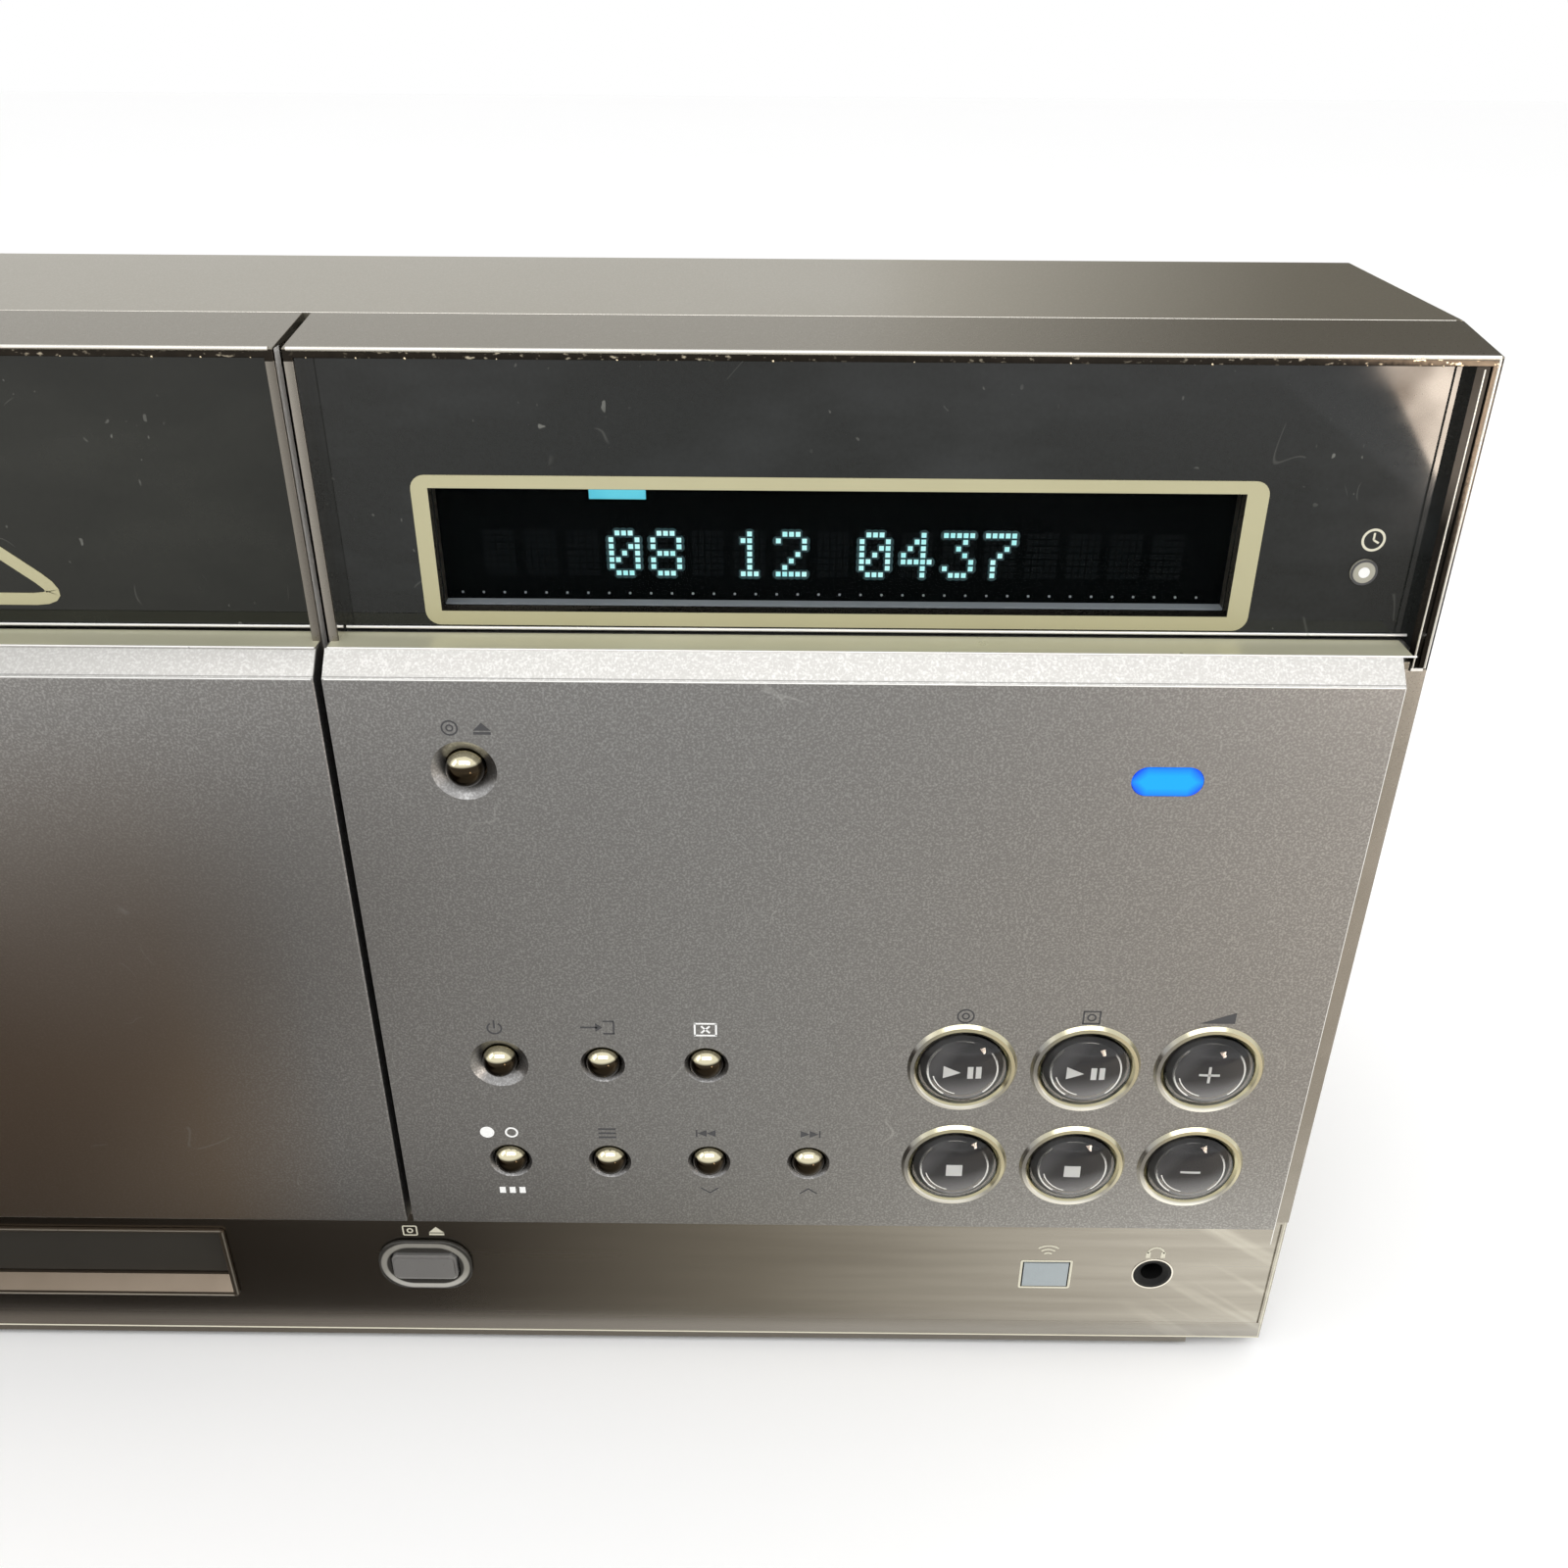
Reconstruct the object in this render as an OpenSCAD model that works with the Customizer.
// Desktop disc and minidisc system: a slim cabinet whose left front slides aside to bare an
// upright disc well, and whose right front carries the display and the keys.
// Millimetres. X runs along the front, Y runs to the back, Z is up and 0 on the table.
// Inside the modules Y is 0 at the front plane of the frames.
// The width, height and depth of the cabinet follow from what it holds.

/* [Cabinet] */
// Room beside the disc well, both sides together
side_room = 14; // [13:0.5:40]
// Depth of the top, behind the front plane
top_d = 55; // [52:1:70]
// Room between the minidisc deck and the outside of the rear wall
deck_room = 8.9; // [8:0.1:30]
// Drop from the top to where the rear slope starts
slope_drop = 47.6; // [40:0.1:60]
// Height where the rear slope ends
slope_bottom = 64; // [58:1:80]
// Sheet of the cabinet cover
sheet_t = 1.2; // [1:0.1:1.6]
// Wall of the moulded rear cover
rear_t = 2; // [1.6:0.1:2.6]
// Radius of the top's back edge
back_edge_r = 3; // [1:0.5:6]
// Height of the plinth
plinth_h = 2.5; // [2:0.1:4]
// Gap between the table and the plinth
foot_gap = 1.5; // [1:0.1:3]
// Diameter of a foot
foot_d = 16; // [10:1:22]

/* [Fronts] */
// Depth of the two front slabs
slab_d = 12.1; // [11.6:0.1:14]
// Gap between the door and the right front
gap_w = 1; // [0.6:0.1:1.4]
// Drop of the top flange towards the front
flange_fall = 1.5; // [1:0.1:3]
// Width of the frame round the dark glass
rim_w = 1.1; // [0.9:0.1:2]
// Depth of the glass behind the frame
glass_set = 3.7; // [2.5:0.1:4.5]
// Thickness of the glass
glass_t = 2; // [1.5:0.1:2.4]
// Wall of the frames
frame_t = 1.6; // [1.2:0.1:1.8]
// How far the silver panels stand proud
panel_proud = 4.9; // [4:0.1:6.5]
// Wall of the silver panels
panel_t = 1.8; // [1.4:0.1:2]
// Height of the dark band over the ledge of the silver panels
band_h = 37.1; // [36:0.1:40]
// Size of the bevel under the ledge
bevel = 2.9; // [2:0.1:3.6]
// Height of the silver panels' lower edge
panel_z = 33.2; // [32.5:0.1:36]
// Strip between a silver panel and the side of the unit
panel_inset = 4.3; // [3:0.1:6]
// Height of the top of the steel trim
trim_z = 29.8; // [29.4:0.1:31]
// Depth of the steel trim behind the front plane
trim_set = 0.4; // [0:0.1:1]

/* [Display] */
// Left end of the display window
window_x = 14; // [10:0.5:18]
// Width of the display window
window_w = 98.2; // [80:0.5:102]
// Height of the display window
window_h = 15.8; // [12:0.1:19]
// Height of the display window over the ledge
window_up = 2.7; // [2:0.1:6]
// Diameter of the timer lamp
timer_d = 3.3; // [3:0.1:5]

/* [Keys] */
// Diameter of a small chrome key
ball_d = 5; // [4:0.1:5.6]
// Diameter of a large domed key
dome_d = 12.5; // [11:0.1:13]
// Rise of a large key's dome
dome_rise = 1.7; // [1:0.1:2.4]
// Gap round a key
key_gap = 0.2; // [0.15:0.05:0.3]
// Travel of a key
key_travel = 0.8; // [0.4:0.1:1]
// Distance between small keys
ball_pitch = 14.8; // [12:0.1:15.2]
// Distance between large keys
dome_pitch = 17.55; // [17:0.05:18]
// Distance from the last small key to the first large key
key_space = 21.7; // [20:0.1:40]
// Distance from the last large key to the side of the cabinet
key_side = 19.2; // [18:0.1:40]
// Height of the upper row of keys
row_high = 65.3; // [64:0.1:70]
// Height of the lower row of keys
row_low = 46.6; // [45:0.1:48]
// First column of small keys
ball_x = 16.6; // [15:0.1:18]
// Drop of the disc eject key under the ledge
eject_drop = 15.5; // [13.5:0.5:23]
// Diameter of the dished ring round the two main keys
dish_d = 8.4; // [7:0.1:10]
// Width of the rings round the large keys
ring_w = 1.4; // [1:0.1:1.6]

/* [Sliding door] */
// Travel of the door
door_travel = 125; // [90:1:126]
// Base of the triangular window in the door
tri_w = 71.2; // [50:0.5:80]
// Height of the triangular window
tri_h = 28.5; // [20:0.5:29]
// Module of the rack teeth
rack_m = 0.8; // [0.8:0.1:0.8]
// Teeth of the drive pinion
pinion_teeth = 18; // [16:1:19]
// Height of a slide bar
bar_h = 3.1; // [2.8:0.1:3.3]
// Depth of a slide bar
bar_d = 3.7; // [3.4:0.1:3.7]
// Play between a bar and its rail
rail_play = 0.12; // [0.08:0.02:0.2]

/* [Disc deck] */
// Diameter of the disc well
well_d = 123; // [121.5:0.5:123]
// Clearance over and under the disc well
well_clear = 0.65; // [0.6:0.05:10]
// Depth of the disc well's floor behind the front plane
floor_y = 22.7; // [22.2:0.1:24]
// Diameter of the turntable
platter_d = 32; // [28:1:33]
// Travel of the pickup
sled_travel = 34; // [30:1:36]
// Teeth of the sled gear
sled_teeth = 24; // [20:1:28]

/* [Minidisc deck] */
// Wall of the slot bezel beside the slot
slot_wall = 1.5; // [1.5:0.1:4]
// Height of the slot bezel
slot_h = 15.1; // [14.6:0.1:15.6]
// Width of the slot itself
mouth_w = 70; // [69:0.1:78]
// Height of the slot itself
mouth_h = 11.3; // [11:0.1:11.6]
// Height of the slot's lower edge
mouth_z = 13.6; // [13.4:0.1:14]
// Height of the holder over the slot's lower edge
holder_lift = 4.65; // [4.2:0.05:4.9]
// Room for the disc in the holder
holder_h = 5.7; // [5.3:0.1:6]
// Drop of the holder onto the spindle
holder_drop = 2.5; // [1.5:0.1:2.6]

/* [Rear] */
// Outer diameter of a phono socket
phono_d = 8.3; // [8:0.1:8.6]
// Reach of the sockets behind the rear wall
socket_reach = 8; // [6:0.5:9]
// Bore of the headphone socket
phone_bore = 3.6; // [3.5:0.02:3.7]

/* [Hidden] */

$fn = 48;

// Half of the width: room for the disc well on the left and for the keys on the right
half_w = max(well_d + side_room, ball_x + 3 * ball_pitch + key_space + 2 * dome_pitch + key_side);
x0 = gap_w / 2;
deck_x = -half_w / 2;
frame_z = foot_gap + plinth_h;
pan_z = frame_z + 1.5;
slab_z = trim_z + 0.3;
flat = 0.1;

// Height: the disc well between the rails of the two slide bars
web_t = 1.2;
low_bar = slab_z;
low_web = low_bar + bar_h + 0.2;
well_z = low_web + web_t + well_clear + well_d / 2;
high_web = well_z + well_d / 2 + well_clear;
high_bar = high_web + web_t + 0.2;
roof_z = high_bar + bar_h + 1;
unit_h = roof_z + sheet_t;
flange_z = unit_h - flange_fall;
ledge_z = unit_h - band_h;
eject_z = ledge_z - eject_drop;
slope_top = unit_h - slope_drop;

// Layers behind the front plane
glass_back = glass_set + glass_t;
backing_y = glass_back + frame_t;
door_back_y = slab_d + flat;
cover_y = slab_d + 0.3;
bar_back = door_back_y + bar_d;
bulk_y = bar_back + 0.3;
bulk_back = bulk_y + 1.5;
holder_y = bulk_back + 1.4;
holder_l = 74;
deck_back = holder_y + holder_l + 3;
side_in = half_w - sheet_t;

// Rear wall plane, socket ends and the shift that centres the whole depth on Y 0
base_d = deck_back + deck_room;
socket_y = base_d + socket_reach;
dome_y = -panel_proud - 0.5 - dome_rise;
face_y = -(socket_y + dome_y) / 2;

// Silver panels
panel_x1 = half_w - panel_inset;
ledge_x1 = panel_x1 + 1.9;
ledge_t = 1.5;
leg_z = ledge_z - 2.8;
glass_x1 = half_w - rim_w - flat;
glass_top = flange_z - rim_w - flat;

// Keys
board_y = frame_t + flat;
switch_y = board_y - 1.6;
stem_y = switch_y + 0.2;
ring_d = dome_d + 2 * key_gap + 2 * ring_w;
ring_x = half_w - key_side;
ball_flange = ball_d + 2.4;
window_z = ledge_z + window_up;
timer_x = half_w - 9;
timer_z = ledge_z + 8.8;
status_x = half_w - 31.5;
status_z = eject_z - 0.7;

// Slide bars, rails and the drive
bar_y = door_back_y;
tongue_y = bar_y + 1.1;
tongue_w = 1.3;
tongue_h = 1.4;
pinion_x = -16;
pinion_r = rack_m * pinion_teeth / 2;
pinion_z = low_bar - rack_m - pinion_r;
rack_teeth = floor((door_travel + 12) / (PI * rack_m));
bar_x1 = pinion_x - 6 + rack_teeth * PI * rack_m;

// Disc deck
plate_y = floor_y + 2.3;
rod_y = plate_y + 4;
rod_z = 16;
sled_m = 0.5;
sled_r = sled_m * sled_teeth / 2;
sled_x = deck_x + 14;
sled_gear_x = deck_x + 51;
sled_rack_z = well_z - 23;
sled_gear_z = sled_rack_z - sled_m - sled_r;
sled_rack_teeth = floor((sled_travel + 8) / (PI * sled_m));

// Minidisc deck
slot_z = mouth_z + mouth_h / 2 - 0.6;
hinge_z = mouth_z + mouth_h - 0.8;
hinge_y = 3.4;
holder_z = mouth_z + holder_lift;
slot_w = mouth_w + 2 * slot_wall;
holder_w = mouth_w - 1.2;
deck_z = pan_z + 4.6;
md_spindle_y = holder_y + 38;

// Eject key of the slot, sensor and headphone socket in the steel trim
eject_x = -0.5;
eject_key_z = 18.9;
eject_stem_y = 4.8;
eject_board_y = 7.6;
sensor_x = half_w - 37.1;
sensor_z = 17.6;
phone_x = half_w - 19.8;
phone_z = 18;

// Main board, its heat sink and the lip of the cover over the rear wall
main_board_y = bulk_back + 9.1;
board_x = 26;
board_z = 40;
board_top = unit_h - 14;
fin_pitch = 4;
fin_t = 1.4;
sink_x = half_w - 49;
sink_z = board_top - 33.6;
sink_h = 26;

// Transformer, in front of the mains inlet
mains_x = half_w - 37;
core_x = mains_x - 8;
core_y = base_d - 41;
core_w = 36;
core_d = 32;
core_h = 36;
coil_w = 20;
coil_d = 44;
lip_z = unit_h - 9;

// Places of the rear sockets
phono_pitch = 14;
audio_x = -30;
audio_z = 40;
aerial_x = -72;
speaker_x = 22;
speaker_pitch = 12;
rear_z = 30;

module at_face()
    translate([0, face_y, 0]) children();

// Box given by two opposite corners
module block(a, b)
    translate(a) cube([b[0] - a[0], b[1] - a[1], b[2] - a[2]]);

// Side profile in Y and Z, swept along X
module along_x(xa, xb)
    translate([xa, 0, 0]) rotate([90, 0, 90]) linear_extrude(xb - xa) children();

// Front outline in X and Z, swept from ya back to yb
module along_y(ya, yb)
    translate([0, yb, 0]) rotate([90, 0, 0]) linear_extrude(yb - ya) children();

module rod_along_y(d, ya, yb, x = 0, z = 0)
    translate([x, yb, z]) rotate([90, 0, 0]) cylinder(d = d, h = yb - ya);

module rod_along_x(d, xa, xb, y = 0, z = 0)
    translate([xa, y, z]) rotate([0, 90, 0]) cylinder(d = d, h = xb - xa);

module rod_along_z(d, za, zb, x = 0, y = 0)
    translate([x, y, za]) cylinder(d = d, h = zb - za);

// Revolved shape round an axis along Y: points are [radius, depth behind the front plane]
module turned(points, x, z)
    translate([x, 0, z]) rotate([-90, 0, 0]) rotate_extrude() polygon(points);

module round_box(w, h, r) {
    translate([-w / 2 + r, -h / 2]) square([w - 2 * r, h]);
    if (h > 2 * r)
        translate([-w / 2, -h / 2 + r]) square([w, h - 2 * r]);
    for (sx = [-1, 1], sz = [-1, 1])
        translate([sx * (w / 2 - r), sz * (h / 2 - r)]) circle(r);
}

// Isosceles triangle with round corners, its base centred on the origin
module soft_triangle(w, h, r) {
    slope = atan(h / (w / 2));
    in_x = w / 2 - r / tan(slope / 2);
    top_z = h - r / cos(slope);
    polygon([[-in_x, 0], [in_x, 0], [in_x, r], [-in_x, r]]);
    polygon([[-in_x, r], [in_x, r], [0, top_z]]);
    for (s = [-1, 1])
        polygon([
            [s * in_x, r], [0, top_z], [s * r * sin(slope), top_z + r * cos(slope)],
            [s * (in_x + r * sin(slope)), r + r * cos(slope)]
        ]);
    translate([in_x, r]) circle(r);
    translate([-in_x, r]) circle(r);
    translate([0, top_z]) circle(r);
}

// Points of an involute gear tooth flank
function involute(base_r, roll) = [
    base_r * (cos(roll) + roll * PI / 180 * sin(roll)),
    base_r * (sin(roll) - roll * PI / 180 * cos(roll))
];

function turned_point(p, a) = [p[0] * cos(a) - p[1] * sin(a), p[0] * sin(a) + p[1] * cos(a)];

module gear_outline(m, teeth, play) {
    pitch_r = m * teeth / 2;
    base_r = pitch_r * cos(20);
    tip_r = pitch_r + 0.9 * m;
    root_r = pitch_r - 1.25 * m;
    tip_roll = sqrt(pow(tip_r / base_r, 2) - 1) * 180 / PI;
    pitch_roll = sqrt(pow(pitch_r / base_r, 2) - 1) * 180 / PI;
    pitch_at = involute(base_r, pitch_roll);
    half_tooth = 90 / teeth - play / pitch_r * 90 / PI + atan2(pitch_at[1], pitch_at[0]);
    flank = [for (i = [0:4]) involute(base_r, tip_roll * i / 4)];
    union() {
        circle(root_r);
        for (t = [0:teeth - 1])
            rotate(360 * t / teeth) polygon(concat(
                [turned_point([root_r * 0.9, 0], -half_tooth)],
                [for (p = flank) turned_point(p, -half_tooth)],
                [for (i = [4:-1:0]) turned_point([flank[i][0], -flank[i][1]], half_tooth)],
                [turned_point([root_r * 0.9, 0], half_tooth)]
            ));
    }
}

// Rack outline with its teeth pointing down from z 0, starting with the gap at x 0
function rack_points(m, count, play) = [
    for (t = [0:count - 1], k = [0:3])
        let (
            mid = (t + 0.5) * PI * m,
            half_root = PI * m / 4 - play / 2 + 1.0 * m * tan(20),
            half_tip = PI * m / 4 - play / 2 - 0.9 * m * tan(20),
            reach = k == 0 || k == 3 ? 0 : -1.9 * m,
            side = k < 2 ? -1 : 1,
            half = reach == 0 ? half_root : half_tip
        )
        [mid + side * half, reach]
];

// Front slab frame of the right half: outer walls, top flange, front strip and glass backing
module slab_frame() {
    inner_x = x0 + rim_w;
    outer_x = half_w - rim_w;
    difference() {
        along_x(x0, half_w) polygon([
            [0, slab_z], [0, flange_z], [slab_d, unit_h], [slab_d, slab_z]
        ]);
        along_x(inner_x, outer_x) polygon([
            [frame_t, slab_z + frame_t], [frame_t, flange_z - rim_w],
            [slab_d + 1, unit_h - rim_w], [slab_d + 1, slab_z + frame_t]
        ]);
        block([inner_x, -1, ledge_z - ledge_t - flat], [outer_x, frame_t + 1, flange_z - rim_w]);
        block([ledge_x1 + flat, -1, leg_z], [outer_x, frame_t + 1, ledge_z]);
        block([x0 + 5.5, -1, slab_z + 9], [panel_x1 - 4.5, frame_t + 1, ledge_z - 9]);
    }
    difference() {
        along_x(inner_x - 0.2, outer_x + 0.2) polygon([
            [glass_back, leg_z - 3], [glass_back, flange_z], [backing_y, flange_z],
            [backing_y, leg_z - 3]
        ]);
        children();
    }
    block([inner_x - 0.2, 0.2, leg_z - 1.7], [outer_x + 0.2, backing_y, leg_z - flat]);
}

// Dark glass of the right half, with the narrow leg beside the ledge's end
module slab_glass()
    along_y(glass_set, glass_back) polygon([
        [x0 + rim_w + flat, ledge_z + flat], [x0 + rim_w + flat, glass_top],
        [glass_x1, glass_top], [glass_x1, leg_z + flat],
        [ledge_x1 + 2 * flat, leg_z + flat], [ledge_x1 + 2 * flat, ledge_z + flat]
    ]);

// Raised silver panel of the right half: bevelled tray and the ledge over it
module slab_panel() {
    difference() {
        along_x(x0, panel_x1) polygon([
            [-flat / 2, panel_z], [-panel_proud + 0.6, panel_z], [-panel_proud, panel_z + 0.6],
            [-panel_proud, ledge_z - bevel], [-panel_proud + bevel, ledge_z],
            [-flat / 2, ledge_z]
        ]);
        along_x(x0 + panel_t, panel_x1 - panel_t) polygon([
            [1, panel_z + panel_t], [-panel_proud + panel_t, panel_z + panel_t],
            [-panel_proud + panel_t, ledge_z - bevel - 0.5],
            [-panel_proud + bevel + 0.5, ledge_z - ledge_t], [1, ledge_z - ledge_t]
        ]);
        children();
    }
    translate([0, 0, ledge_z - ledge_t]) linear_extrude(ledge_t) polygon([
        [x0 + rim_w + flat, glass_set - flat], [ledge_x1, glass_set - flat],
        [ledge_x1, 0.8], [panel_x1 - 0.5, -panel_proud + bevel],
        [x0 + rim_w + flat, -panel_proud + bevel]
    ]);
}

// Openings of the control panel for one key
module key_hole(x, z, d, rim_d, rim_h) {
    rod_along_y(d, -panel_proud - 1, 0, x, z);
    turned([
        [0, -panel_proud - 0.01], [rim_d / 2, -panel_proud - 0.01], [d / 2, -panel_proud + rim_h],
        [0, -panel_proud + rim_h]
    ], x, z);
}

// Small round-nosed key with the flange that holds it behind the panel
module ball_key(x, z) {
    r = ball_d / 2;
    nose = -panel_proud - 1.6;
    back = -panel_proud + panel_t + flat;
    translate([x, nose + r, z]) sphere(r);
    rod_along_y(ball_d, nose + r, back + 0.2, x, z);
    rod_along_y(ball_flange, back, back + 0.8, x, z);
    rod_along_y(1.4, back, stem_y, x, z);
}

// Large key: clear dome over a dark drum, with its flange and stem
module dome_key(x, z) {
    r = dome_d / 2;
    ball_r = (r * r + dome_rise * dome_rise) / (2 * dome_rise);
    back = -panel_proud + panel_t + flat;
    intersection() {
        rod_along_y(dome_d, dome_y - 1, back + 0.2, x, z);
        translate([x, dome_y + ball_r, z]) sphere(ball_r);
    }
    rod_along_y(ring_d, back, back + 0.8, x, z);
    rod_along_y(1.8, back, stem_y, x, z);
}

// Push switch on the board, hollow so that the key's stem dips into it
module key_switch(x, z)
    difference() {
        block([x - 2.5, switch_y, z - 2.5], [x + 2.5, board_y, z + 2.5]);
        rod_along_y(2.2, switch_y - 1, stem_y + key_travel + 0.2, x, z);
    }

function ball_place(i) =
    i == 0 ? [ball_x, eject_z] :
    i < 4 ? [ball_x + (i - 1) * ball_pitch, row_high] :
    [ball_x + (i - 4) * ball_pitch, row_low];

function dome_place(i) =
    [ring_x - (2 - floor(i / 2)) * dome_pitch, i % 2 == 0 ? row_high : row_low];

// Side profile of the cabinet, inset from its outer skin
function body_profile(inset) =
    let (
        bend = atan((base_d - top_d) / (slope_top - slope_bottom)),
        lift = inset * tan(bend / 2),
        r = max(back_edge_r - inset, 0.4)
    )
    concat(
        [[cover_y, frame_z], [cover_y, unit_h - inset]],
        [for (a = [90:-15:0])
            [top_d - inset - r + r * cos(a), unit_h - inset - r + r * sin(a)]],
        [[top_d - inset, slope_top - lift], [base_d - inset, slope_bottom - lift],
        [base_d - inset, frame_z]]
    );

module cabinet_cover()
    color([0.52, 0.50, 0.47]) at_face() {
        difference() {
            along_x(-half_w, half_w) polygon(body_profile(0));
            along_x(-side_in, side_in) polygon(concat(
                [[cover_y - 1, frame_z - 1]], [[cover_y - 1, roof_z]],
                [for (p = body_profile(sheet_t)) if (p[1] > lip_z && p[0] > cover_y + 1) p],
                [[top_d - sheet_t, lip_z], [base_d + 1, lip_z], [base_d + 1, frame_z - 1]]
            ));
            for (z = [[low_bar - 2.2 * rack_m - 0.6, low_web + web_t], [high_web - 1, roof_z]])
                block([-half_w - 1, cover_y - 1, z[0]], [-side_in + 1, bulk_y, z[1]]);
        }
    }

module rear_cover()
    color([0.20, 0.20, 0.21]) at_face()
        difference() {
            bend = atan((base_d - top_d) / (slope_top - slope_bottom));
            lift = rear_t * tan(bend / 2);
            along_x(-side_in + flat, side_in - flat) polygon([
                [top_d, lip_z - flat], [top_d, slope_top], [base_d, slope_bottom],
                [base_d, pan_z + flat], [base_d - rear_t, pan_z + flat],
                [base_d - rear_t, slope_bottom - lift], [top_d - rear_t, slope_top - lift],
                [top_d - rear_t, lip_z - flat]
            ]);
            vent_rows();
            block([audio_x - 14, base_d - 3, audio_z - 14], [audio_x + 14, base_d + 1, audio_z + 14]);
            block([aerial_x - 9, base_d - 3, rear_z - 7], [aerial_x + 9, base_d + 1, rear_z + 7]);
            block([speaker_x - 2 * speaker_pitch, base_d - 3, rear_z - 8],
                [speaker_x + 2 * speaker_pitch, base_d + 1, rear_z + 8]);
            block([mains_x - 12, base_d - 3, rear_z - 9], [mains_x + 12, base_d + 1, rear_z + 9]);
            for (p = screw_places())
                rod_along_y(3.2, p[1] - 3, p[1] + 1, p[0], p[2]);
        }

// Slots through the slope of the rear cover
module vent_rows() {
    mid_z = (slope_top + slope_bottom) / 2;
    mid_y = (top_d + base_d) / 2;
    lean = atan((base_d - top_d) / (slope_top - slope_bottom));
    for (side = [-1, 1], i = [-7:7])
        translate([side * half_w / 2 + i * 6, mid_y, mid_z]) rotate([lean, 0, 0])
            cube([2.4, 12, 34], center = true);
}

// Places of the rear screws: three under the top and four round the lower wall
function screw_places() = concat(
    [for (s = [-1:1]) [s * (half_w - 16), top_d, lip_z - 7]],
    [for (s = [-1, 1], z = [pan_z + 6, slope_bottom - 6]) [s * (half_w - 8), base_d, z]]
);

module screws()
    color([0.75, 0.75, 0.76]) at_face()
        for (p = screw_places())
            difference() {
                union() {
                    rod_along_y(6, p[1], p[1] + 1.8, p[0], p[2]);
                    rod_along_y(3, p[1] - 7, p[1] + 0.5, p[0], p[2]);
                }
                for (turn = [0, 90])
                    translate([p[0], p[1] + 1.6, p[2]]) rotate([0, turn, 0])
                        cube([3.4, 1.4, 0.8], center = true);
            }

module base_pan()
    color([0.16, 0.16, 0.17]) at_face() {
        plinth_x = half_w - 7.2;
        difference() {
            union() {
                block([-side_in + flat, 2.2, frame_z], [side_in - flat, base_d - flat, pan_z]);
                along_x(-plinth_x, plinth_x) polygon([
                    [trim_set + 1.7, frame_z + 0.2], [trim_set + 2.7, foot_gap], [base_d - 6, foot_gap],
                    [base_d - 4, frame_z + 0.2]
                ]);
            }
            block([-plinth_x + 3, 6, foot_gap - 1], [plinth_x - 3, base_d - 9, frame_z]);
            for (i = [-6:6])
                block([i * 9 - 2, 40, frame_z - 1], [i * 9 + 2, 80, pan_z + 1]);
        }
        for (x = [-half_w + 60, half_w - 60])
            block([x - 1, 5, foot_gap + 0.6], [x + 1, base_d - 8, frame_z + 0.2]);
    }

module feet()
    color([0.07, 0.07, 0.07]) at_face()
        for (sx = [-1, 1], y = [18, base_d - 22])
            translate([sx * (half_w - 26), y, 0]) rotate_extrude() polygon([
                [0, 0], [foot_d / 2 - 0.8, 0], [foot_d / 2, 0.8], [foot_d / 2, frame_z], [0, frame_z]
            ]);

module front_bulkhead()
    color([0.42, 0.42, 0.43]) at_face() {
        difference() {
            block([-side_in + flat, bulk_y, pan_z], [side_in - flat, bulk_back, roof_z - flat]);
            rod_along_y(well_d, bulk_y - 1, bulk_back + 1, deck_x, well_z);
            block([deck_x - mouth_w / 2 - 1.2, bulk_y - 1, mouth_z - 0.6],
                [deck_x + mouth_w / 2 + 1.2, bulk_back + 1, mouth_z + mouth_h + 0.6]);
            rod_along_y(3.6, bulk_y - 1, bulk_back + 1, pinion_x, pinion_z);
        }
        for (x = [board_x + 6, half_w - 14], z = [board_z + 8, board_top - 8])
            difference() {
                rod_along_y(7, bulk_back - 0.2, main_board_y - flat / 2, x, z);
                rod_along_y(2.6, bulk_back + 2, main_board_y, x, z);
            }
    }

module fascia_frame()
    color([0.50, 0.48, 0.45]) at_face()
        slab_frame() {
            block([window_x, 0, window_z], [window_x + window_w, slab_d, window_z + window_h]);
            rod_along_y(timer_d + 0.2, 0, slab_d, timer_x, timer_z);
        }

module fascia_glass()
    color([0.10, 0.11, 0.11]) at_face()
        difference() {
            slab_glass();
            rod_along_y(timer_d + 0.1, 0, slab_d, timer_x, timer_z);
        }

module control_panel()
    color([0.60, 0.60, 0.61]) at_face()
        slab_panel() {
            for (i = [0:7]) {
                p = ball_place(i);
                main_key = i < 2;
                key_hole(p[0], p[1], ball_d + 2 * key_gap, main_key ? dish_d : ball_d + 1.4,
                    main_key ? 1.1 : 0.5);
            }
            for (i = [0:5]) {
                p = dome_place(i);
                rod_along_y(ring_d - 1, -panel_proud - 1, 0, p[0], p[1]);
            }
            translate([status_x, 0, status_z]) along_y(-panel_proud - 1, 0) round_box(9.2, 4.2, 2.1);
        }

module display_tube()
    color([0.04, 0.06, 0.06]) at_face() {
        top = min(window_z + window_h + 2, glass_top);
        block([window_x - 1.5, backing_y + 0.05, window_z - 2],
            [window_x + window_w + 2, backing_y + 3.4, top]);
        for (i = [0:23])
            block([window_x + 4 + i * (window_w - 8) / 24, backing_y + 1, window_z - 3.6],
                [window_x + 4.6 + i * (window_w - 8) / 24, backing_y + 1.6, window_z - 1.9]);
    }

module status_lens()
    color([0.10, 0.45, 0.95]) at_face()
        translate([status_x, 0, status_z]) {
            along_y(-panel_proud - 0.1, -panel_proud + panel_t + 0.1) round_box(9, 4, 2);
            along_y(-panel_proud + panel_t + 0.05, -panel_proud + panel_t + 1) round_box(11, 6, 2);
        }

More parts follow.
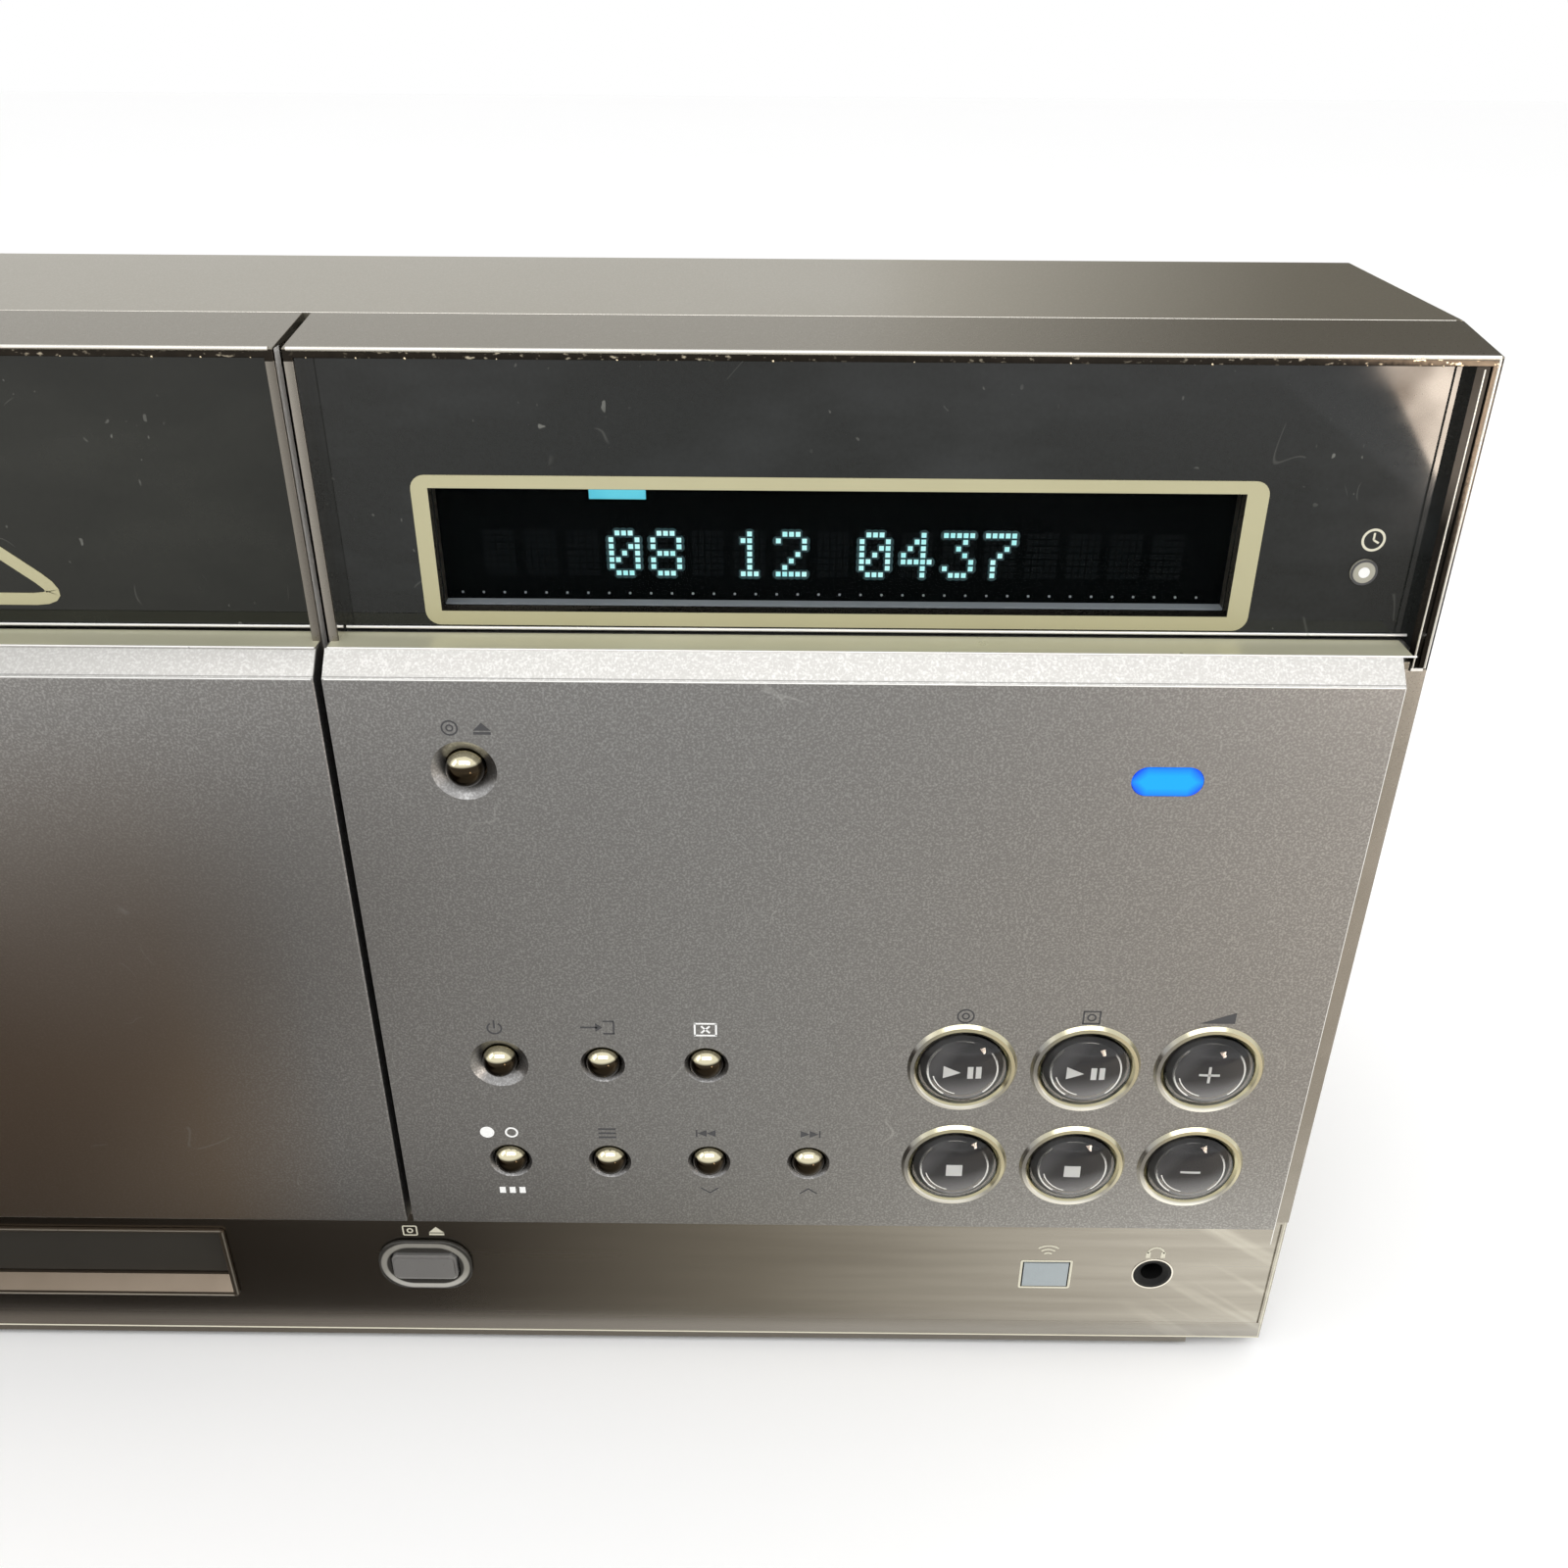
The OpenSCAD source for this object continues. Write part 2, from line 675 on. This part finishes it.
module timer_lens()
    color([0.92, 0.90, 0.80]) at_face() {
        rod_along_y(timer_d, glass_set - 0.3, backing_y + 1, timer_x, timer_z);
        rod_along_y(timer_d + 1.6, backing_y + 0.1, backing_y + 1.2, timer_x, timer_z);
    }

// Glossy rings pressed into the panel round the large keys
module key_rings()
    color([0.72, 0.70, 0.58]) at_face()
        for (i = [0:5]) {
            p = dome_place(i);
            bore = dome_d / 2 + key_gap;
            turned([
                [bore, -panel_proud - 0.2], [bore + 0.5, -panel_proud - 0.6],
                [ring_d / 2 - 0.4, -panel_proud - 0.5], [ring_d / 2, -panel_proud],
                [ring_d / 2 - 0.55, -panel_proud], [ring_d / 2 - 0.55, -panel_proud + panel_t - 0.05],
                [bore, -panel_proud + panel_t - 0.05]
            ], p[0], p[1]);
        }

module key_board()
    color([0.10, 0.32, 0.16]) at_face() {
        block([x0 + 3, board_y, slab_z + 6.5], [panel_x1 - 2, board_y + 1.4, ledge_z - 6.5]);
        for (i = [0:7])
            key_switch(ball_place(i)[0], ball_place(i)[1]);
        for (i = [0:5])
            key_switch(dome_place(i)[0], dome_place(i)[1]);
        block([status_x - 2, -panel_proud + panel_t + 1.1, status_z - 1.5],
            [status_x + 2, board_y, status_z + 1.5]);
        block([eject_x - 12, eject_board_y, eject_key_z - 8],
            [eject_x + 12, eject_board_y + 1.2, eject_key_z + 8]);
        difference() {
            block([eject_x - 3, eject_stem_y - 0.2, eject_key_z - 2.5],
                [eject_x + 3, eject_board_y, eject_key_z + 2.5]);
            rod_along_y(2.2, eject_stem_y - 1, eject_stem_y + key_travel + 0.4, eject_x, eject_key_z);
        }
    }

module front_trim()
    color([0.36, 0.33, 0.29]) at_face() {
        difference() {
            along_x(-half_w, half_w) polygon(concat(
                [[trim_set, trim_z], [slab_d - 0.4, trim_z], [slab_d - 0.4, frame_z]],
                [for (a = [270:-22.5:180])
                    [trim_set + 1 + cos(a), frame_z + 1 + sin(a)]]
            ));
            block([-side_in, trim_set + 1.5, frame_z - 1], [side_in, slab_d + 1, pan_z + 0.1]);
            block([-side_in, trim_set + 1.5, pan_z], [side_in, slab_d + 1, trim_z - 1.5]);
            for (s = [-1, 1])
                block([s * (half_w - 0.85) - 0.15, -1, frame_z + 1],
                    [s * (half_w - 0.85) + 0.15, trim_set + 0.4, trim_z - 0.5]);
            block([deck_x - slot_w / 2 + 0.3, -1, slot_z - slot_h / 2 + 0.3],
                [deck_x + slot_w / 2 - 0.3, 3, slot_z + slot_h / 2 - 0.3]);
            translate([eject_x, 0, eject_key_z]) along_y(-1, 3) round_box(13.6, 9.3, 4);
            block([sensor_x - 3.8, -1, sensor_z - 2.8], [sensor_x + 3.8, 3, sensor_z + 2.8]);
            rod_along_y(6.4, -1, 3, phone_x, phone_z);
        }
        for (sx = [-1, 1])
            rod_along_y(3, trim_set + 1.3, eject_board_y, eject_x + sx * 10, eject_key_z);
        for (x = [-40, 40])
            block([x, trim_set + 1.3, trim_z - 3], [x + 1.2, slab_d - 0.6, trim_z - 1.3]);
    }

// Mouth of the minidisc slot: a frame with sloped walls that lead into a straight tunnel
module slot_bezel() {
    out_w = slot_w - 1;
    out_h = slot_h - 1;
    front = trim_set - 0.5;
    throat = 2.2;
    back = 13.6;
    top = mouth_z + mouth_h;
    color([0.45, 0.43, 0.40]) at_face()
        difference() {
            union() {
                translate([deck_x, 0, slot_z]) along_y(front, trim_set - 0.02)
                    round_box(slot_w, slot_h, 0.8);
                translate([deck_x, 0, slot_z]) along_y(front, back) square([out_w, out_h], center = true);
            }
            intersection() {
                along_x(deck_x - slot_w, deck_x + slot_w) polygon([
                    [front - 1, slot_z - slot_h / 2], [front - 0.01, slot_z - slot_h / 2 + 0.9],
                    [throat, mouth_z], [throat + 0.1, mouth_z], [throat + 0.1, top],
                    [throat, top], [front - 0.01, slot_z + slot_h / 2 - 0.7],
                    [front - 1, slot_z + slot_h / 2]
                ]);
                linear_extrude(60) polygon([
                    [deck_x - slot_w / 2 + 0.9, front - 1], [deck_x - slot_w / 2 + 0.9, front],
                    [deck_x - mouth_w / 2, throat + 0.1], [deck_x + mouth_w / 2, throat + 0.1],
                    [deck_x + slot_w / 2 - 0.9, front], [deck_x + slot_w / 2 - 0.9, front - 1]
                ]);
            }
            block([deck_x - mouth_w / 2, throat, mouth_z], [deck_x + mouth_w / 2, back + 1, top]);
            rod_along_x(1.3, deck_x - out_w, deck_x + out_w, hinge_y, hinge_z);
        }
}

module slot_flap()
    color([0.36, 0.35, 0.33]) at_face() {
        flap_w = mouth_w - 0.4;
        block([deck_x - flap_w / 2, hinge_y - 0.6, mouth_z + 0.2],
            [deck_x + flap_w / 2, hinge_y + 0.6, hinge_z]);
        rod_along_x(1.2, deck_x - flap_w / 2, deck_x + flap_w / 2, hinge_y, hinge_z);
        rod_along_x(1.2, deck_x - slot_w / 2 + 0.6, deck_x + slot_w / 2 - 0.6, hinge_y, hinge_z);
    }

module eject_bezel()
    color([0.62, 0.61, 0.57]) at_face()
        difference() {
            union() {
                translate([eject_x, 0, eject_key_z]) along_y(trim_set - 0.7, trim_set - 0.02)
                    round_box(15, 10.7, 4.6);
                translate([eject_x, 0, eject_key_z]) along_y(trim_set - 0.1, trim_set + 1.6)
                    round_box(13.4, 9.1, 3.9);
            }
            translate([eject_x, 0, eject_key_z]) along_y(-2, 4) round_box(10.9, 5.7, 1.3);
        }

module key_mini_eject()
    color([0.66, 0.66, 0.66]) at_face() {
        translate([eject_x, 0, eject_key_z]) {
            along_y(trim_set - 1, trim_set + 2.2) round_box(10.4, 5.2, 1.1);
            along_y(trim_set - 1.4, trim_set - 0.9) round_box(9.6, 4.4, 0.8);
            along_y(trim_set + 1.8, trim_set + 2.6) round_box(12.4, 7.4, 1.1);
        }
        rod_along_y(1.8, trim_set + 2, eject_stem_y, eject_x, eject_key_z);
    }

module sensor_window()
    color([0.55, 0.60, 0.66]) at_face() {
        block([sensor_x - 3.6, trim_set - 0.1, sensor_z - 2.6], [sensor_x + 3.6, 2.4, sensor_z + 2.6]);
        block([sensor_x - 4.8, trim_set + 1.55, sensor_z - 3.6],
            [sensor_x + 4.8, trim_set + 4.5, sensor_z + 3.6]);
    }

module headphone_socket()
    color([0.08, 0.08, 0.08]) at_face()
        difference() {
            union() {
                rod_along_y(6.2, trim_set - 0.1, 3, phone_x, phone_z);
                block([phone_x - 5.5, trim_set + 1.6, phone_z - 5.5], [phone_x + 5.5, 15, phone_z + 5.5]);
            }
            rod_along_y(phone_bore, -1, 14, phone_x, phone_z);
            turned([[0, trim_set - 0.11], [2.6, trim_set - 0.11], [phone_bore / 2, trim_set + 0.5],
                [0, trim_set + 0.5]], phone_x, phone_z);
        }

// Rails on the bulkhead: each is a web with a tongue in the groove of its bar
module door_rails()
    color([0.55, 0.56, 0.58]) at_face() {
        rail_x = side_in - 1.5;
        block([-rail_x, tongue_y + rail_play, low_web], [rail_x, bulk_y, low_web + web_t]);
        block([-rail_x, tongue_y + rail_play, low_web - 0.1 - tongue_h],
            [rail_x, tongue_y + tongue_w, low_web + 0.1]);
        block([-rail_x, tongue_y + rail_play, high_web], [rail_x, bulk_y, high_web + web_t]);
        block([-rail_x, tongue_y + rail_play, high_web + web_t - 0.1],
            [rail_x, tongue_y + tongue_w, high_web + web_t + 0.1 + tongue_h]);
    }

// Lower slide bar of the door with the rack under its free half
module rack_slide()
    color([0.80, 0.80, 0.78]) at_face() {
        difference() {
            block([-half_w + 6, bar_y, low_bar], [bar_x1, bar_back, low_bar + bar_h]);
            block([-half_w, tongue_y, low_bar + bar_h - tongue_h - 0.3],
                [bar_x1 + 1, tongue_y + tongue_w + rail_play, low_bar + bar_h + 1]);
        }
        translate([pinion_x - 6, 0, low_bar]) along_y(bar_y + 0.3, bar_back)
            polygon(concat(
                [[0, 0.5]], rack_points(rack_m, rack_teeth, 0.12),
                [[rack_teeth * PI * rack_m, 0.5]]
            ));
    }

module upper_slide()
    color([0.80, 0.80, 0.78]) at_face()
        difference() {
            block([-half_w + 6, bar_y, high_bar], [bar_x1, bar_back, high_bar + bar_h]);
            block([-half_w, tongue_y, high_bar - 1],
                [bar_x1 + 1, tongue_y + tongue_w + rail_play, high_bar + tongue_h + 0.3]);
        }

// Pinion with a tooth gap facing the rack tooth above it, and its shaft into the motor
module drive_pinion() {
    lead = 6 / (PI * rack_m);
    turn = (lead - floor(lead)) * 360 / pinion_teeth;
    color([0.85, 0.83, 0.75]) at_face() {
        translate([pinion_x, 0, pinion_z]) along_y(bar_y + 0.3, bar_back - 0.1)
            rotate(90 + turn) gear_outline(rack_m, pinion_teeth, 0.12);
        rod_along_y(3, bar_back - 0.2, bulk_back + 6, pinion_x, pinion_z);
    }
}

module door_motor()
    color([0.60, 0.60, 0.62]) at_face()
        difference() {
            union() {
                rod_along_y(16, bulk_back + 3, bulk_back + 22, pinion_x, pinion_z);
                rod_along_y(7, bulk_back + 0.05, bulk_back + 3.5, pinion_x, pinion_z);
                block([pinion_x - 12, bulk_back + 0.05, pinion_z - 7],
                    [pinion_x + 12, bulk_back + 3.2, pinion_z + 7]);
                rod_along_y(5, bulk_back + 21, bulk_back + 23.5, pinion_x, pinion_z);
            }
            rod_along_y(3.12, bulk_back - 1, bulk_back + 7, pinion_x, pinion_z);
        }

// Cup behind the bulkhead that the disc turns in
module cd_well()
    color([0.14, 0.14, 0.15]) at_face()
        difference() {
            union() {
                rod_along_y(well_d + 10, bulk_back + 0.02, bulk_back + 1.4, deck_x, well_z);
                rod_along_y(well_d + 3.6, bulk_back + 0.02, floor_y + 1.5, deck_x, well_z);
            }
            rod_along_y(well_d, bulk_back - 1, floor_y, deck_x, well_z);
            rod_along_y(platter_d + 3, floor_y - 1, floor_y + 3, deck_x, well_z);
            block([deck_x + 8, floor_y - 1, well_z - 6.5],
                [deck_x + 30 + sled_travel, floor_y + 3, well_z + 6.5]);
        }

// Traverse plate with its four mounts, rod blocks and gear boss
module cd_chassis()
    color([0.55, 0.56, 0.57]) at_face() {
        xa = deck_x - 26;
        xb = deck_x + 42 + sled_travel;
        difference() {
            block([xa, plate_y, sled_gear_z - 4], [xb, plate_y + 1.2, well_z + 24]);
            rod_along_y(10, plate_y - 1, plate_y + 3, deck_x, well_z);
            block([deck_x + 10, plate_y - 1, well_z - 12],
                [deck_x + 34 + sled_travel, plate_y + 3, well_z + 12]);
            rod_along_y(2.1, plate_y - 1, plate_y + 3, sled_gear_x, sled_gear_z);
        }
        for (x = [xa + 5, deck_x + 38], z = [well_z - 20, well_z + 20])
            rod_along_y(6, floor_y + 1.52, plate_y + 0.1, x, z);
        for (s = [-1, 1])
            for (x = [deck_x + 6, xb - 6])
                difference() {
                    block([x, plate_y + 1, well_z + s * rod_z - 3],
                        [x + 5, rod_y + 3, well_z + s * rod_z + 3]);
                    rod_along_x(3.02, x - 1, x + 6, rod_y, well_z + s * rod_z);
                }
    }

module guide_rods()
    color([0.82, 0.83, 0.85]) at_face()
        for (s = [-1, 1])
            rod_along_x(3, deck_x + 6.2, deck_x + 40.8 + sled_travel, rod_y, well_z + s * rod_z);

module spindle_motor()
    color([0.50, 0.50, 0.52]) at_face()
        difference() {
            union() {
                rod_along_y(24, plate_y + 1.22, plate_y + 7, deck_x - 8, well_z);
                rod_along_y(9.6, plate_y - 0.8, plate_y + 3, deck_x, well_z);
                block([deck_x - 20, plate_y + 1.22, well_z - 5], [deck_x + 4.4, plate_y + 4, well_z + 5]);
            }
            rod_along_y(2.12, plate_y - 2, plate_y + 6, deck_x, well_z);
        }

module turntable()
    color([0.16, 0.16, 0.17]) at_face() {
        seat = floor_y - 2.7;
        turned([
            [0, seat - 3.6], [4.5, seat - 3.6], [6.6, seat - 2.6], [7.4, seat - 1.2], [7.4, seat],
            [platter_d / 2 - 0.6, seat], [platter_d / 2, seat + 0.6], [platter_d / 2, seat + 1.8],
            [platter_d / 2 - 2, seat + 2.6], [4, seat + 2.6], [4, plate_y - 1], [0, plate_y - 1]
        ], deck_x, well_z);
        for (a = [90, 210, 330])
            translate([deck_x + 6.7 * cos(a), seat - 1.6, well_z + 6.7 * sin(a)]) sphere(1);
        rod_along_y(2, seat, plate_y + 5, deck_x, well_z);
    }

// Pickup on its two rods, with the lens tower and the rack that the gear drives
module pickup_sled()
    color([0.12, 0.12, 0.13]) at_face() {
        difference() {
            union() {
                block([sled_x, plate_y + 1.6, well_z - 20], [sled_x + 20, rod_y + 2.6, well_z + 20]);
                rod_along_y(9, floor_y - 1, plate_y + 2, sled_x + 10, well_z);
            }
            for (s = [-1, 1])
                rod_along_x(3.1, sled_x - 1, sled_x + 21, rod_y, well_z + s * rod_z);
            rod_along_y(5.4, floor_y - 2, floor_y - 0.3, sled_x + 10, well_z);
        }
        intersection() {
            rod_along_y(5.4, floor_y - 1.2, floor_y, sled_x + 10, well_z);
            translate([sled_x + 10, floor_y + 3.6, well_z]) sphere(4.6);
        }
        block([sled_x, plate_y + 1.8, sled_rack_z],
            [sled_x + sled_travel + 8, plate_y + 4, well_z - 19.3]);
        translate([sled_x, 0, sled_rack_z]) along_y(plate_y + 1.8, plate_y + 4) polygon(concat(
            [[0, 0.5]], rack_points(sled_m, sled_rack_teeth, 0.1),
            [[sled_rack_teeth * PI * sled_m, 0.5]]
        ));
    }

module sled_gear() {
    lead = (sled_gear_x - sled_x) / (PI * sled_m);
    turn = (lead - floor(lead)) * 360 / sled_teeth;
    color([0.88, 0.86, 0.78]) at_face() {
        translate([sled_gear_x, 0, sled_gear_z]) along_y(plate_y + 1.6, plate_y + 4)
            rotate(90 + turn) gear_outline(sled_m, sled_teeth, 0.1);
        rod_along_y(2, plate_y - 0.6, plate_y + 2, sled_gear_x, sled_gear_z);
        rod_along_y(4, plate_y + 1.3, plate_y + 1.7, sled_gear_x, sled_gear_z);
    }
}

// Pan of the minidisc deck with two slotted side walls
module md_deck()
    color([0.62, 0.63, 0.64]) at_face() {
        wall_x = holder_w / 2 + 1.4;
        difference() {
            block([deck_x - wall_x - 1, holder_y - 0.8, deck_z],
                [deck_x + wall_x + 1, deck_back, deck_z + 1]);
            rod_along_z(5.2, deck_z - 1, deck_z + 2, deck_x, md_spindle_y);
            block([deck_x + 8, md_spindle_y - 6, deck_z - 1], [deck_x + 30, md_spindle_y + 6, deck_z + 2]);
        }
        for (s = [-1, 1])
            difference() {
                block([deck_x + s * (wall_x + 0.5) - 0.5, holder_y - 0.8, deck_z],
                    [deck_x + s * (wall_x + 0.5) + 0.5, deck_back, holder_z + holder_h + 2]);
                for (y = lug_places())
                    block([deck_x + s * wall_x - 3, y - 1.1, holder_z + 2 - holder_drop - 1.2],
                        [deck_x + s * wall_x + 3, y + 1.1, holder_z + 3.2]);
            }
        for (sx = [-1, 1], y = [holder_y + 6, deck_back - 6])
            rod_along_z(7, pan_z, deck_z + 0.2, deck_x + sx * 28, y);
    }

function lug_places() = [holder_y + 10, holder_y + holder_l - 10];

// Folded cage that takes the minidisc and drops it onto the spindle
module md_holder()
    color([0.70, 0.71, 0.72]) at_face() {
        half = holder_w / 2;
        difference() {
            block([deck_x - half - 0.8, holder_y, holder_z - 0.8],
                [deck_x + half + 0.8, holder_y + holder_l, holder_z + holder_h + 0.8]);
            block([deck_x - half, holder_y - 1, holder_z],
                [deck_x + half, holder_y + holder_l - 0.8, holder_z + holder_h]);
            block([deck_x - half + 4, holder_y - 1, holder_z - 2],
                [deck_x + half - 4, holder_y + holder_l + 1, holder_z + 0.5]);
            block([deck_x - 14, holder_y + 20, holder_z + holder_h - 0.5],
                [deck_x + 14, holder_y + 52, holder_z + holder_h + 2]);
        }
        for (s = [-1, 1], y = lug_places())
            rod_along_x(2, min(s * (half + 0.7), s * (half + 2.2)) + deck_x,
                max(s * (half + 0.7), s * (half + 2.2)) + deck_x, y, holder_z + 2);
    }

module md_spindle()
    color([0.75, 0.75, 0.77]) at_face()
        translate([deck_x, md_spindle_y, 0]) {
            rod_along_z(2.6, pan_z + 1.6, deck_z + 2);
            rod_along_z(5, pan_z + 2, deck_z + 1.1);
            rod_along_z(16, deck_z + 1.1, deck_z + 2.6);
            rod_along_z(4, deck_z + 2.4, deck_z + 4);
        }

// Main circuit board with its larger components
module main_board()
    color([0.12, 0.36, 0.18]) at_face() {
        y = main_board_y;
        block([board_x, y, board_z], [half_w - 8, y + 1.6, board_top]);
        for (i = [0:4])
            rod_along_y(8, y + 1.5, y + 12, board_x + 14 + i * 10, board_top - 19.6);
        block([board_x + 10, y + 1.5, board_z + 52], [board_x + 32, y + 3.6, board_z + 72]);
        block([board_x + 46, y + 1.5, board_z + 44], [board_x + 74, y + 4, board_z + 64]);
        for (i = [0:3])
            block([board_x + 8 + i * 22, y + 1.5, board_z + 16],
                [board_x + 22 + i * 22, y + 7, board_z + 24]);
        for (i = [0:6])
            block([sink_x + i * fin_pitch, y + 1.5, sink_z],
                [sink_x + i * fin_pitch + fin_t, y + 14, sink_z + sink_h]);
        block([sink_x, y + 1.5, sink_z], [sink_x + 6 * fin_pitch + fin_t, y + 3.5, sink_z + sink_h]);
    }

// Iron core on its feet, and the coil round it
module transformer()
    color([0.30, 0.28, 0.26]) at_face() translate([core_x, core_y, pan_z]) {
        block([-core_w / 2 - 2, -core_d / 2 - 4, 0], [core_w / 2 + 2, core_d / 2 + 4, 2]);
        block([-core_w / 2, -core_d / 2, 1.9], [core_w / 2, core_d / 2, 2 + core_h]);
        block([-coil_w / 2, -coil_d / 2, 9], [coil_w / 2, coil_d / 2, 31]);
    }

module phono_sleeve(x, z)
    difference() {
        rod_along_y(phono_d, base_d - 1, socket_y, x, z);
        rod_along_y(3.3, base_d + 1, socket_y + 1, x, z);
    }

module audio_sockets()
    color([0.15, 0.15, 0.15]) at_face() {
        difference() {
            block([audio_x - 13.9, base_d - 12, audio_z - 13.9],
                [audio_x + 13.9, base_d + 0.3, audio_z + 13.9]);
            block([audio_x - 12, base_d - 13, audio_z - 12], [audio_x + 12, base_d - 4, audio_z + 12]);
        }
        for (sx = [-1, 1], sz = [-1, 1])
            phono_sleeve(audio_x + sx * phono_pitch / 2, audio_z + sz * phono_pitch / 2);
    }

module aerial_socket()
    color([0.70, 0.70, 0.70]) at_face() {
        block([aerial_x - 8.9, base_d - 10, rear_z - 6.9], [aerial_x + 8.9, base_d + 0.3, rear_z + 6.9]);
        difference() {
            rod_along_y(9.5, base_d, socket_y, aerial_x, rear_z);
            rod_along_y(7.6, base_d + 1, socket_y + 1, aerial_x, rear_z);
        }
        rod_along_y(2.3, base_d, socket_y - 1, aerial_x, rear_z);
    }

// Row of four plug-in speaker sockets
module speaker_sockets()
    color([0.10, 0.10, 0.10]) at_face()
        for (i = [-1.5:1:1.5])
            translate([speaker_x + i * speaker_pitch, 0, rear_z])
                difference() {
                    block([0.1 - speaker_pitch / 2, base_d - 14, -7.9],
                        [speaker_pitch / 2 - 0.1, base_d + 0.8, 7.9]);
                    rod_along_y(4.1, base_d - 11, base_d + 2);
                }

// Two-pin mains inlet
module mains_inlet()
    color([0.06, 0.06, 0.06]) at_face() {
        difference() {
            block([mains_x - 11.9, base_d - 15, rear_z - 8.9], [mains_x + 11.9, base_d + 0.5, rear_z + 8.9]);
            translate([mains_x, 0, rear_z]) along_y(base_d - 11, base_d + 1) round_box(15.2, 7.6, 3.7);
        }
        for (s = [-1, 1])
            rod_along_y(2.36, base_d - 12, base_d - 1.5, mains_x + s * 4.3, rear_z);
    }

module door_frame()
    color([0.50, 0.48, 0.45]) at_face()
        mirror([1, 0, 0]) slab_frame() door_window();

// Triangular window, in the mirrored door's own right-handed frame
module door_window()
    translate([-deck_x, 0, ledge_z + (glass_top - ledge_z - tri_h) / 2])
        along_y(0, slab_d + 2) soft_triangle(tri_w - 3.4, tri_h - 3.4, 1.2);

module door_glass()
    color([0.10, 0.11, 0.11]) at_face()
        mirror([1, 0, 0]) slab_glass();

module door_panel()
    color([0.60, 0.60, 0.61]) at_face()
        mirror([1, 0, 0]) slab_panel();

// Inner cover of the door, which the two slide bars are fixed to
module door_back()
    color([0.25, 0.25, 0.26]) at_face()
        mirror([1, 0, 0]) difference() {
            block([x0 + rim_w + flat, door_back_y - 1.6, slab_z + frame_t + flat],
                [half_w - rim_w - flat, door_back_y, unit_h - rim_w - 0.6]);
            door_window();
        }

module small_key(i)
    color([0.80, 0.80, 0.80]) at_face() ball_key(ball_place(i)[0], ball_place(i)[1]);

module large_key(i)
    color([0.20, 0.21, 0.22]) at_face() dome_key(dome_place(i)[0], dome_place(i)[1]);

module key_disc_eject() small_key(0);
module key_power() small_key(1);
module key_source() small_key(2);
module key_erase() small_key(3);
module key_record() small_key(4);
module key_group() small_key(5);
module key_back() small_key(6);
module key_forward() small_key(7);
module key_disc_play() large_key(0);
module key_disc_stop() large_key(1);
module key_mini_play() large_key(2);
module key_mini_stop() large_key(3);
module key_volume_up() large_key(4);
module key_volume_down() large_key(5);

cabinet_cover();
rear_cover();
base_pan();
feet();
front_bulkhead();
fascia_frame();
fascia_glass();
control_panel();
display_tube();
status_lens();
timer_lens();
key_rings();
key_board();
front_trim();
slot_bezel();
eject_bezel();
sensor_window();
headphone_socket();
door_rails();
door_motor();
cd_well();
cd_chassis();
guide_rods();
spindle_motor();
md_deck();
main_board();
transformer();
audio_sockets();
aerial_socket();
speaker_sockets();
mains_inlet();
screws();
door_frame();
door_glass();
door_panel();
door_back();
rack_slide();
upper_slide();
drive_pinion();
turntable();
pickup_sled();
sled_gear();
md_holder();
md_spindle();
slot_flap();
key_disc_eject();
key_power();
key_source();
key_erase();
key_record();
key_group();
key_back();
key_forward();
key_disc_play();
key_disc_stop();
key_mini_play();
key_mini_stop();
key_volume_up();
key_volume_down();
key_mini_eject();
